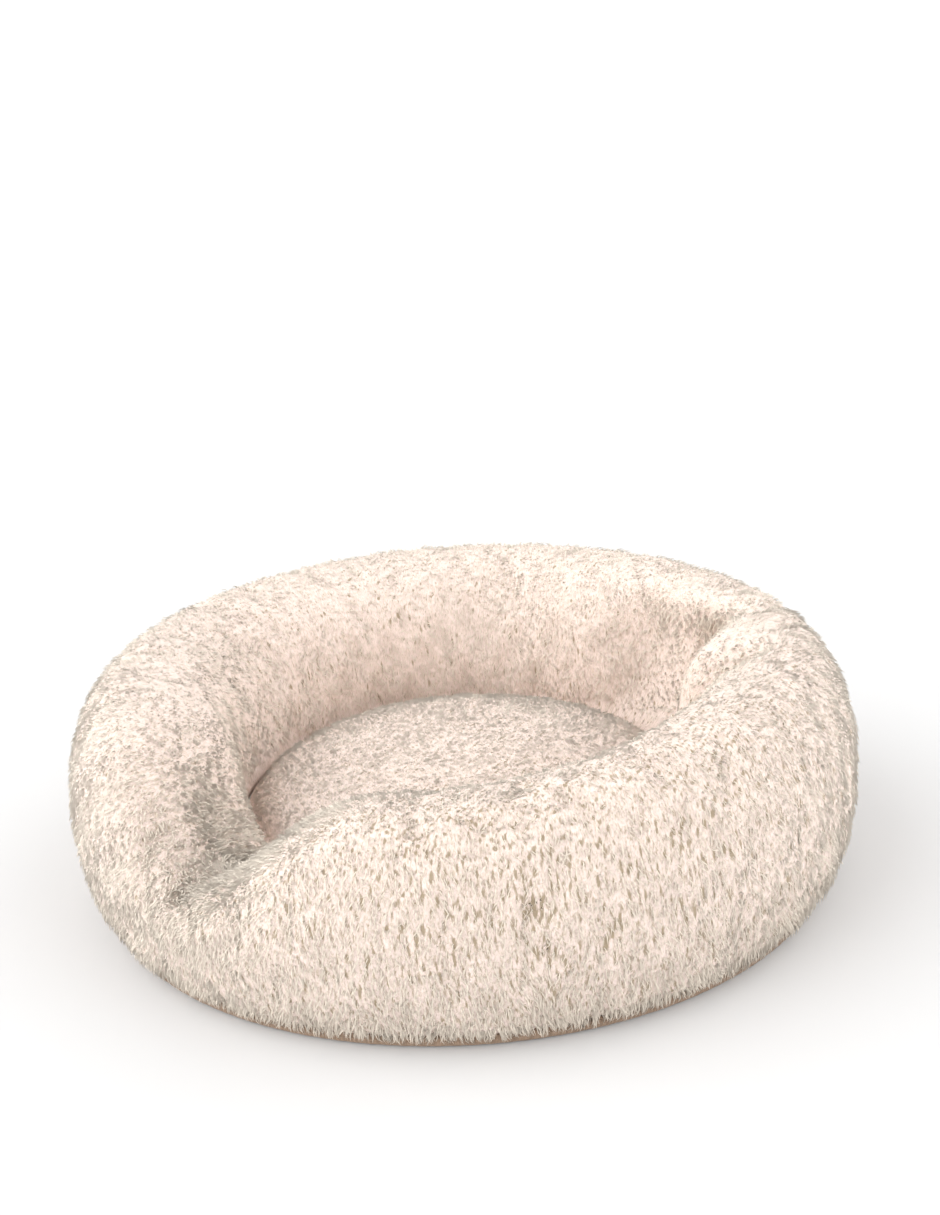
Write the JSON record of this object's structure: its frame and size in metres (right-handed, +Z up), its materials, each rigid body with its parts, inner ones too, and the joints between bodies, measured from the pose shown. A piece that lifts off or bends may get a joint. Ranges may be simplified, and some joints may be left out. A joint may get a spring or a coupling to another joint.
{
  "type": "pet bed",
  "caption": "Round plush pet bed: a stuffed ring-shaped rim around a low stuffed cushion, closed underneath by a base cloth with a filling zip.",
  "frame": {"origin": "on the floor, in the middle of the base", "axes": "+Z up along the bed's axis, -Y towards the front as pictured, +X to the right"},
  "size_m": [0.5996, 0.5996, 0.1853],
  "materials": {
    "cream_fur": "long cream plush pile, matte with a soft sheen",
    "cushion_fur": "long cream plush pile, pressed a little flatter",
    "fibre_fill": "white polyester fibre",
    "taupe_cloth": "woven taupe cloth with small grip dots",
    "taupe_binding": "woven taupe binding tape",
    "lining_cloth": "plain woven lining",
    "zip_tape": "woven zip tape",
    "zip_coil": "moulded nylon coil",
    "zip_metal": "nickel-plated, lightly brushed"
  },
  "bodies": {
    "bed": {"bolster_cover": "cream_fur", "bolster_filling": "fibre_fill", "cushion_cover": "cushion_fur", "cushion_filling": "fibre_fill", "chamber_wall": "lining_cloth", "seam_tape": "lining_cloth", "hem_binding": "taupe_binding", "base_cloth": "taupe_cloth", "zip_tape_front": "zip_tape", "zip_tape_back": "zip_tape", "zip_chain_front": "zip_coil", "zip_chain_back": "zip_coil", "zip_top_stop_front": "zip_metal", "zip_top_stop_back": "zip_metal", "zip_bottom_stop": "zip_metal"},
    "slider": {"zip_slider": "zip_metal"},
    "puller": {"zip_puller": "zip_metal"}
  },
  "joints": [
    {"name": "zip_slide", "type": "slide", "parent": "bed", "child": "slider", "axis": [-1, 0, 0], "range_m": [0, 0.2286]},
    {"name": "puller_hinge", "type": "hinge", "parent": "slider", "child": "puller", "pos_m": [0.1184, 0, 0.0025], "axis": [0, -1, 0], "range_deg": [0, 137]}
  ]
}
